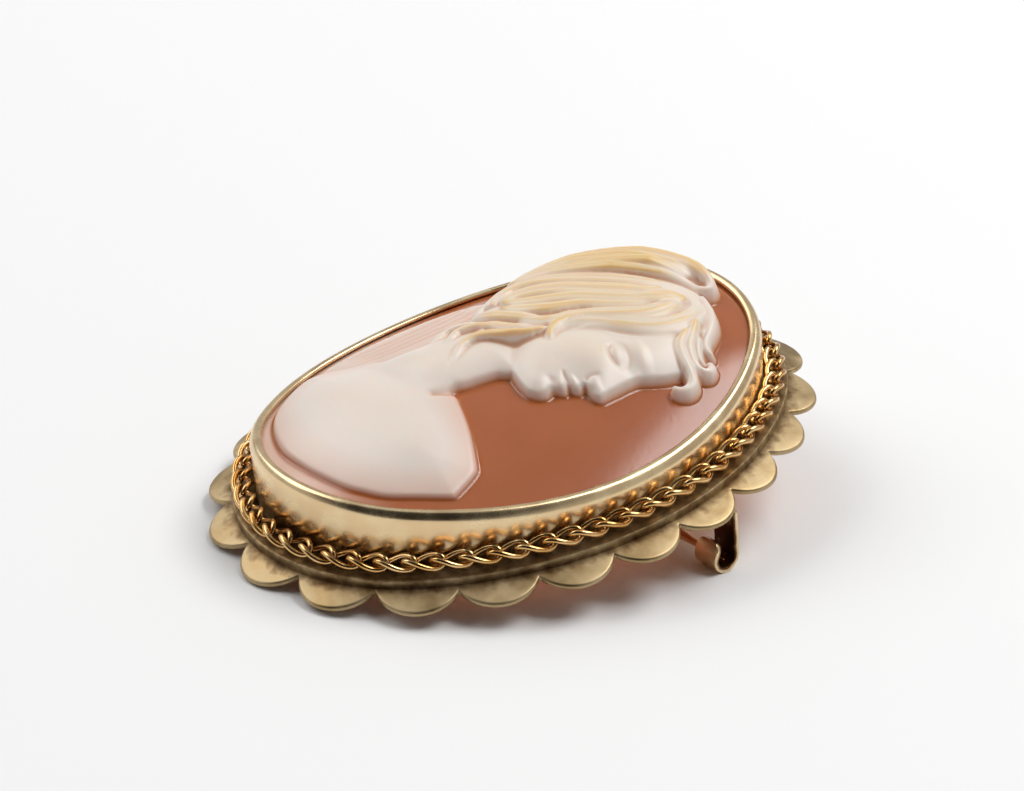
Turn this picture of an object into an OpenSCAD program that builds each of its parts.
// Oval shell cameo brooch, lying on its back: +X is the side the carved face looks to, +Y is
// towards the carved head, +Z is up. The brooch rests on its catch, its hinge and one petal.

/* [Shell cameo] */
// Full width of the shell, across the figure
cameo_w = 27.9; // [24:0.1:34]
// Full length of the shell, foot to head
cameo_l = 37.8; // [34:0.1:46]
// Radius of the two ends of the oval shell
end_r = 11.2; // [10:0.1:11.8]
// Thickness of the shell at its edge
edge_t = 2; // [1.4:0.1:2.4]
// How much lower the shell's long sides lie than its two ends
side_drop = 2.2; // [1:0.1:2.6]
// How much the ground rises from the edge to the middle
ground_rise = 1.3; // [0.6:0.1:1.8]
// How much the back is hollowed
back_hollow = 1.1; // [0.4:0.1:1.4]
// Height of the tallest relief above the ground
relief_h = 2.75; // [1.2:0.05:3]

/* [Collar] */
// Wall of the collar round the shell
collar_t = 0.45; // [0.35:0.05:0.7]
// Height of the collar's lip over the back of the plate, at the two ends
collar_h = 5.75; // [5.4:0.05:7]
// How far the lip is turned in over the shell
lip_w = 0.4; // [0.3:0.05:1]
// Thickness of the lip
lip_t = 0.45; // [0.3:0.05:0.6]
// Width of the seat that carries the shell
seat_w = 0.9; // [0.6:0.1:1.4]
// Free gap between the shell and the metal
shell_gap = 0.07; // [0.05:0.01:0.15]

/* [Scalloped plate] */
// Thickness of the plate
plate_t = 0.4; // [0.3:0.05:0.6]
// Width of the flat ring outside the collar
ring_w = 1.85; // [1.8:0.05:2.2]
// How far the petals' tips reach past the collar
petal_reach = 3.7; // [3.4:0.05:4.4]
// Width of one petal, about which the edge is shared out
petal_w = 5.5; // [4.8:0.1:6.6]
// How much wider than its share of the edge each petal's round end is
petal_swell = 1.09; // [1.04:0.01:1.14]
// Angle by which the petals droop
petal_droop = 16; // [6:1:20]
// Turn of the petals round the plate, as a share of one petal
petal_shift = 0.12; // [0:0.01:0.3]
// Height of the raised band that the chain lies on
band_h = 0.65; // [0.4:0.05:0.9]

/* [Curb chain] */
// Distance from one link to the next, about which the chain is shared out
link_pitch = 1.85; // [1.8:0.01:1.95]
// Length of a link
link_l = 3; // [2.96:0.02:3.06]
// Width of a link
link_w = 1.52; // [1.48:0.02:1.6]
// Thickness of the wire
wire_d = 0.36; // [0.3:0.01:0.38]
// Angle to which each end of a link is twisted
link_twist = 62; // [58:1:70]
// Free gap between the chain and the metal
link_gap = 0.11; // [0.1:0.01:0.14]

/* [Catch] */
// Place of the catch and the hinge, from the middle towards the head
catch_y = 3.8; // [1:0.1:6]
// Depth of the catch and the hinge under the plate
catch_depth = 4.6; // [4:0.1:6]
// Width of the catch's strip, along the pin
catch_w = 2.1; // [1.6:0.1:2.6]
// Thickness of the catch's strip
catch_t = 0.38; // [0.3:0.02:0.5]
// Inside radius of the hook
hook_r = 0.72; // [0.66:0.02:0.9]
// Length of the straight tongue at the end of the hook
tongue_l = 1; // [0.8:0.1:1.2]
// Radius of the tongue's corners
tongue_round = 0.7; // [0.3:0.1:0.7]
// Angle by which the tongue leans back over the pin
tongue_lean = 24; // [12:1:28]
// Distance from the tip of the petals in to the catch
catch_inset = 0.55; // [0.4:0.05:1.2]

/* [Hinge and pin] */
// Thickness of the pin
pin_d = 0.8; // [0.7:0.02:0.9]
// Length of the pin's sharpened point
point_l = 5; // [3:0.5:7]
// Diameter of the rivet
rivet_d = 0.8; // [0.6:0.05:1]
// Outside diameter of the pin's knuckle
knuckle_d = 2; // [1.8:0.1:2.3]
// Width of the pin's knuckle
knuckle_w = 1.6; // [1.2:0.1:2.2]
// Thickness of each hinge ear
ear_t = 0.6; // [0.5:0.05:0.9]
// Running gap in the hinge
run_gap = 0.05; // [0.03:0.01:0.08]

/* [Hidden] */

gold = "#d8c08a";
shell_white = "#efe2d2";
round_fn = 96;
deg = 180 / PI;

// The four-centred oval of the collar's outer wall. Every other oval runs beside it.
collar_grow = shell_gap + collar_t;
half_w = cameo_w / 2 + collar_grow;
half_l = cameo_l / 2 + collar_grow;
end_arc = end_r + collar_grow;
end_c = half_l - end_arc;
side_arc = (pow(half_w, 2) + pow(end_c, 2) - pow(end_arc, 2)) / (2 * (half_w - end_arc));
side_c = side_arc - half_w;
join_a = atan2(end_c, side_c);

// The lip follows a wide cylinder laid along the shell.
curve_r = (pow(half_w, 2) + pow(side_drop, 2)) / (2 * side_drop);
shell_top = collar_h - lip_t - shell_gap;
seat_top = shell_top - edge_t - shell_gap;

// Heights and places of the chain
band_w = link_w + 2 * link_gap;
band_top = plate_t + band_h;
link_mid_r = (link_w - wire_d) / 2;
link_rise = link_mid_r * sin(link_twist) + wire_d / 2;
chain_z = band_top + link_gap + link_rise;
chain_off = link_gap + link_w / 2;

// How far out and down the sheet runs before it is cut to petals
sheet_reach = petal_reach + plate_t;
sheet_drop = (sheet_reach - ring_w) * tan(petal_droop);

// The resting tilt, from the hook's bottom to the lowest petal
tip_drop = (petal_reach - ring_w) * tan(petal_droop);
tip_y = half_l + petal_reach;
rest_tilt = atan2(catch_depth - tip_drop, tip_y + catch_y);
hook_out = hook_r + catch_t;
petal_low = tip_y * sin(rest_tilt) + tip_drop * cos(rest_tilt);
hook_low = hook_out - catch_y * sin(rest_tilt) - (hook_out - catch_depth) * cos(rest_tilt);
rest_z = max(petal_low, hook_low);
rest_y = -sin(rest_tilt) * (tip_drop - plate_t / 2);

// The catch, the hinge and the pin
catch_x = half_w + petal_reach - catch_inset - catch_w;
hinge_x = -(half_w + ring_w / 2);
ear_r = knuckle_d / 2 + run_gap;
ear_y = knuckle_w / 2 + run_gap;
ear_foot = rest_z + (catch_y - ear_y - ear_t) * sin(rest_tilt);
knuckle_z = ear_r - ear_foot / cos(rest_tilt);
pin_z = -catch_depth + catch_t + run_gap + pin_d / 2;
tongue_step = 0.02;
tongue_root = 0.15;
tip_x = catch_x + catch_w - catch_t;
pin_lean = atan2(knuckle_z - pin_z, tip_x - hinge_x);
pin_l = (tip_x - hinge_x) / cos(pin_lean);

// Distance round a quarter of the oval that runs "off" outside the collar
function side_run(off) = (side_arc + off) * join_a / deg;
function quarter_run(off) = side_run(off) + (end_arc + off) * (90 - join_a) / deg;

// Direction of the outward normal after a run from the oval's side towards its end
function quarter_turn(run, off) = run < side_run(off)
    ? run / (side_arc + off) * deg
    : join_a + (run - side_run(off)) / (end_arc + off) * deg;

// Direction of the outward normal at a share of the way round, from +X
function oval_turn(share, off) =
    let (quarters = 4 * (share - floor(share)),
         which = floor(quarters),
         part = quarters - which,
         run = (which % 2 == 0 ? part : 1 - part) * quarter_run(off),
         turn = quarter_turn(run, off))
    which == 0 ? turn : which == 1 ? 180 - turn : which == 2 ? 180 + turn : 360 - turn;

// Point of the oval with that outward normal
function oval_point(turn, off) = abs(sin(turn)) < sin(join_a)
    ? [-sign(cos(turn)) * side_c, 0] + (side_arc + off) * [cos(turn), sin(turn)]
    : [0, sign(sin(turn)) * end_c] + (end_arc + off) * [cos(turn), sin(turn)];

function unit(v) = v / norm(v);

// The oval as true arcs: two end discs and the lens between two side discs
module oval(off) {
    join_y = end_c + (end_arc + off) * sin(join_a);
    for (s = [-1, 1])
        translate([0, s * end_c]) circle(r = end_arc + off, $fn = round_fn);
    intersection() {
        translate([side_c, 0]) circle(r = side_arc + off, $fn = round_fn);
        translate([-side_c, 0]) circle(r = side_arc + off, $fn = round_fn);
        square([2 * side_arc, 2 * join_y], center = true);
    }
}

module oval_ring(outer, inner, low, high) {
    translate([0, 0, low]) linear_extrude(high - low) difference() {
        oval(outer);
        oval(inner);
    }
}

// Everything below the wide cylinder whose crest is at the height "top"
module below_curve(top) {
    translate([0, 0, top - curve_r]) rotate([90, 0, 0])
        cylinder(r = curve_r, h = 4 * half_l, center = true, $fn = round_fn);
}

// Brings the upright brooch to its resting place, with the origin under its middle
module resting() {
    translate([0, rest_y, rest_z]) rotate([rest_tilt, 0, 0]) children();
}

// Cameo: ground height over the plate's back, for a place and its share of the way to the edge
function curve_fall(x) = curve_r - sqrt(pow(curve_r, 2) - pow(x, 2));
function ground_z(x, share) = shell_top - curve_fall(x) + ground_rise * (1 - pow(share, 2));
function back_z(x, share) = shell_top - edge_t - curve_fall(x) + back_hollow * (1 - pow(share, 2));

// The carved bust as rounded masses. Places and radii are shares of the shell's half width and
// half length, the turn is in degrees, the height is a share of relief_h, and a higher edge
// value gives a flatter top with steeper sides. Each mass falls to nothing at its own edge.
FX = 0; FY = 1; FRX = 2; FRY = 3; FTURN = 4; FHEIGHT = 5; FEDGE = 6;
figure = [
    // x      y      rx    ry    turn  height edge
    [-0.05, -0.62,  0.70, 0.30,   -4,  0.52,  3],   // breast
    [ 0.42, -0.60,  0.25, 0.22,  -30,  0.50,  3],   // front shoulder
    [-0.47, -0.55,  0.30, 0.20,   30,  0.48,  3],   // back shoulder
    [-0.19, -0.22,  0.25, 0.34,   -4,  0.56,  3],   // neck
    [ 0.33,  0.18,  0.34, 0.30,  -20,  0.70,  3],   // face
    [ 0.27, -0.06,  0.20, 0.11,    0,  0.62,  3],   // jaw and chin
    [ 0.30,  0.52,  0.42, 0.28,  -30,  0.92,  2.5], // hair over the brow
    [-0.12,  0.46,  0.46, 0.36,   14,  0.92,  2.5], // hair over the skull
    [-0.46,  0.50,  0.17, 0.26,  -14,  0.98,  2.5], // roll of hair behind the crown
    [-0.10,  0.76,  0.46, 0.13,   17,  1.02,  2.5], // roll of hair at the crown
    [-0.28,  0.14,  0.32, 0.22,   40,  0.80,  2.5], // hair at the nape
    [-0.62, -0.06,  0.16, 0.36,    8,  0.20,  2.5], // low drape of hair
    [ 0.74,  0.50,  0.10, 0.08,   20,  0.56,  2.5], // upper curl at the brow
    [ 0.78,  0.38,  0.09, 0.07,  -30,  0.46,  2.5]  // lower curl at the brow
];

function mass_height(m, x, y) =
    let (dx = x - m[FX] * cameo_w / 2,
         dy = y - m[FY] * cameo_l / 2,
         u = (dx * cos(m[FTURN]) + dy * sin(m[FTURN])) / (m[FRX] * cameo_w / 2),
         v = (dy * cos(m[FTURN]) - dx * sin(m[FTURN])) / (m[FRY] * cameo_l / 2),
         out = pow(abs(u), m[FEDGE]) + pow(abs(v), m[FEDGE]))
    m[FHEIGHT] * relief_h * max(0, 1 - out);
function relief(x, y) = max([for (m = figure) mass_height(m, x, y)]);

// Rings of points from the middle of the shell to its edge, front first, then the back
front_rings = 26;
back_rings = 3;
spokes = 120;
relief_limit = 1 - (lip_w + shell_gap) / (cameo_w / 2) - 1 / front_rings;

function spoke_edge(j) = oval_point(oval_turn(j / spokes, -collar_grow), -collar_grow);
function front_point(edge, share) =
    let (x = edge[0] * share, y = edge[1] * share)
    [x, y, ground_z(x, share) + (share < relief_limit ? relief(x, y) : 0)];
function back_point(edge, share) =
    [edge[0] * share, edge[1] * share, back_z(edge[0] * share, share)];

module cameo() {
    edges = [for (j = [0 : spokes - 1]) spoke_edge(j)];
    front = [for (i = [1 : front_rings]) for (e = edges) front_point(e, i / front_rings)];
    back = [for (i = [1 : back_rings]) for (e = edges) back_point(e, i / back_rings)];
    middle = [[0, 0, front_point([0, 0], 0)[2]], [0, 0, back_z(0, 0)]];
    back_start = len(front);
    front_middle = len(front) + len(back);
    rim = (front_rings - 1) * spokes;
    back_rim = back_start + (back_rings - 1) * spokes;
    function after(j) = (j + 1) % spokes;
    faces = concat(
        [for (j = [0 : spokes - 1]) [front_middle, after(j), j]],
        [for (i = [0 : front_rings - 2]) for (j = [0 : spokes - 1])
            [i * spokes + j, i * spokes + after(j), (i + 1) * spokes + after(j)]],
        [for (i = [0 : front_rings - 2]) for (j = [0 : spokes - 1])
            [i * spokes + j, (i + 1) * spokes + after(j), (i + 1) * spokes + j]],
        [for (j = [0 : spokes - 1]) [rim + j, rim + after(j), back_rim + after(j)]],
        [for (j = [0 : spokes - 1]) [rim + j, back_rim + after(j), back_rim + j]],
        [for (i = [0 : back_rings - 2]) for (j = [0 : spokes - 1])
            [back_start + i * spokes + j, back_start + (i + 1) * spokes + j,
             back_start + (i + 1) * spokes + after(j)]],
        [for (i = [0 : back_rings - 2]) for (j = [0 : spokes - 1])
            [back_start + i * spokes + j, back_start + (i + 1) * spokes + after(j),
             back_start + i * spokes + after(j)]],
        [for (j = [0 : spokes - 1]) [front_middle + 1, back_start + j, back_start + after(j)]]);
    color(shell_white) resting() polyhedron(concat(front, back, middle), faces, convexity = 6);
}

// Collar: wall, turned-in lip and the seat under the shell
module collar() {
    intersection() {
        oval_ring(0, -collar_t, 0, collar_h);
        below_curve(collar_h);
    }
    difference() {
        intersection() {
            oval_ring(0, -collar_t - lip_w, 0, collar_h);
            below_curve(collar_h);
        }
        below_curve(collar_h - lip_t);
    }
    intersection() {
        oval_ring(-collar_t / 2, -collar_t - seat_w, 0, collar_h);
        below_curve(seat_top);
    }
}

// Sweeps a profile round the oval: x is the distance outside the collar, y the height
module swept_round() {
    for (s = [0, 1]) mirror([s, 0, 0]) translate([-side_c, 0, 0]) rotate([0, 0, -join_a])
        rotate_extrude(angle = 2 * join_a, $fn = round_fn) translate([side_arc, 0]) children();
    for (s = [0, 1]) mirror([0, s, 0]) translate([0, end_c, 0]) rotate([0, 0, join_a])
        rotate_extrude(angle = 180 - 2 * join_a, $fn = round_fn) translate([end_arc, 0]) children();
}

// The flat ring's and the petals' outline from above
module petal_outline() {
    petals = 2 * round(2 * quarter_run(ring_w) / petal_w);
    petal_r = petal_swell * 2 * quarter_run(ring_w) / petals;
    oval(ring_w);
    for (k = [0 : petals - 1])
        translate(oval_point(oval_turn((k + petal_shift) / petals + 0.25, 0), petal_reach - petal_r))
            circle(r = petal_r, $fn = round_fn);
}

// Plate: a flat ring that droops from ring_w outwards, cut to the petals, with the chain's band
module scalloped_plate() {
    inside = -collar_t - seat_w;
    intersection() {
        swept_round() polygon([
            [inside, 0],
            [ring_w, 0],
            [sheet_reach, -sheet_drop],
            [sheet_reach, plate_t - sheet_drop],
            [ring_w, plate_t],
            [inside, plate_t]
        ]);
        translate([0, 0, -collar_h]) linear_extrude(2 * collar_h) petal_outline();
    }
    oval_ring(band_w, -collar_t / 2, plate_t / 2, band_top);
}

// Everything above the middle of the drooping sheet, where what is soldered under it ends
module above_sheet() {
    swept_round() polygon([
        [ring_w, plate_t / 2],
        [sheet_reach, plate_t / 2 - sheet_drop],
        [sheet_reach, collar_h],
        [ring_w, collar_h]
    ]);
}

// Catch: a strip bent to a hook that is open towards the foot of the brooch, where it ends in a
// round-cornered tongue that leans back over the pin
module catch() {
    leg_top = plate_t / 2 + catch_depth - hook_out;
    difference() {
        translate([catch_x, catch_y, hook_out - catch_depth]) rotate([90, 0, 90])
            linear_extrude(catch_w) {
                difference() {
                    circle(r = hook_out, $fn = round_fn);
                    circle(r = hook_r, $fn = round_fn);
                    polygon(2 * hook_out * [
                        [0, 0],
                        [1, 0],
                        [1, 1],
                        [-1, 1],
                        [-cos(tongue_lean), sin(tongue_lean)]
                    ]);
                }
                translate([hook_r, 0]) square([catch_t, leg_top]);
            }
        above_sheet();
    }
    translate([catch_x, catch_y, hook_out - catch_depth]) rotate([-tongue_lean, 0, 0])
        translate([0, -hook_r - tongue_step, 0]) rotate([90, 0, 0])
            linear_extrude(catch_t - 2 * tongue_step) tongue_outline();
}

// The tongue is filed a hair smaller than the strip, and is let into the end of the bend
module tongue_outline() {
    low = tongue_step + tongue_round;
    high = catch_w - low;
    translate([tongue_step, -tongue_root])
        square([catch_w - 2 * tongue_step, tongue_root + tongue_l - tongue_round]);
    translate([low, -tongue_root]) square([high - low, tongue_root + tongue_l]);
    for (x = [low, high])
        translate([x, tongue_l - tongue_round]) circle(r = tongue_round, $fn = round_fn);
}

// Hinge: two ears under the plate, drilled for the rivet
module hinge_ears() {
    difference() {
        for (s = [0, 1]) translate([hinge_x, catch_y, knuckle_z]) mirror([0, s, 0]) {
            translate([0, ear_y + ear_t, 0]) rotate([90, 0, 0])
                cylinder(r = ear_r, h = ear_t, $fn = round_fn);
            translate([-ear_r, ear_y, 0]) cube([2 * ear_r, ear_t, plate_t / 2 - knuckle_z]);
        }
        translate([hinge_x, catch_y, knuckle_z]) rotate([90, 0, 0])
            cylinder(d = rivet_d, h = 4 * (ear_y + ear_t), center = true, $fn = round_fn);
        above_sheet();
    }
}

module setting() {
    color(gold) resting() {
        collar();
        scalloped_plate();
        catch();
        hinge_ears();
    }
}

// One link: places round a flattened loop that is twisted about the chain's run
link_steps = 12;
wire_sides = 5;
side_bulge = 0.8;
chain_run = 4 * quarter_run(chain_off);
links = round(chain_run / link_pitch);
link_half = (link_l - wire_d) / 2;

function link_point(share, step) =
    let (t = 360 * step / link_steps,
         along = link_half * cos(t),
         wide = link_mid_r * sign(sin(t)) * pow(abs(sin(t)), side_bulge),
         twist = link_twist * cos(t),
         turn = oval_turn(share + along / chain_run, chain_off),
         foot = oval_point(turn, chain_off + wide * cos(twist)))
    [foot[0], foot[1], chain_z + wide * sin(twist)];

module link(share) {
    path = [for (i = [0 : link_steps - 1]) link_point(share, i)];
    foot = oval_point(oval_turn(share, chain_off), chain_off);
    middle = [foot[0], foot[1], chain_z];
    points = [for (i = [0 : link_steps - 1])
        let (ahead = path[(i + 1) % link_steps],
             behind = path[(i + link_steps - 1) % link_steps],
             run = unit(ahead - behind),
             up = unit(cross(run, path[i] - middle)),
             side = cross(run, up))
        for (w = [0 : wire_sides - 1])
            path[i] + wire_d / 2 * (cos(360 * w / wire_sides) * up + sin(360 * w / wire_sides) * side)];
    function at(i, w) = (i % link_steps) * wire_sides + w % wire_sides;
    faces = [for (i = [0 : link_steps - 1]) for (w = [0 : wire_sides - 1])
        each [[at(i, w), at(i + 1, w + 1), at(i, w + 1)], [at(i, w), at(i + 1, w), at(i + 1, w + 1)]]];
    polyhedron(points, faces, convexity = 4);
}

module curb_chain() {
    color(gold) resting() for (k = [0 : links - 1]) link(k / links);
}

module hinge_rivet() {
    rivet_l = knuckle_w + 2 * run_gap + 2 * ear_t;
    head_t = ear_t / 3;
    color(gold) resting() translate([hinge_x, catch_y, knuckle_z]) rotate([90, 0, 0]) {
        cylinder(d = rivet_d, h = rivet_l + 2 * head_t, center = true, $fn = round_fn);
        for (s = [-1, 1]) translate([0, 0, s * (rivet_l + head_t) / 2])
            cylinder(d = rivet_d * 1.6, h = head_t, center = true, $fn = round_fn);
    }
}

// Pin: a knuckle, a round stem and a sharpened point
module pin() {
    tip_d = pin_d / 8;
    color(gold) resting() translate([hinge_x, catch_y, knuckle_z]) difference() {
        union() {
            rotate([90, 0, 0]) cylinder(d = knuckle_d, h = knuckle_w, center = true, $fn = round_fn);
            rotate([0, 90 + pin_lean, 0]) {
                cylinder(d = pin_d, h = pin_l - point_l, $fn = round_fn);
                translate([0, 0, pin_l - point_l])
                    cylinder(d1 = pin_d, d2 = tip_d, h = point_l, $fn = round_fn);
            }
        }
        rotate([90, 0, 0])
            cylinder(d = rivet_d + 2 * run_gap, h = 2 * knuckle_w, center = true, $fn = round_fn);
    }
}

cameo();
setting();
curb_chain();
hinge_rivet();
pin();
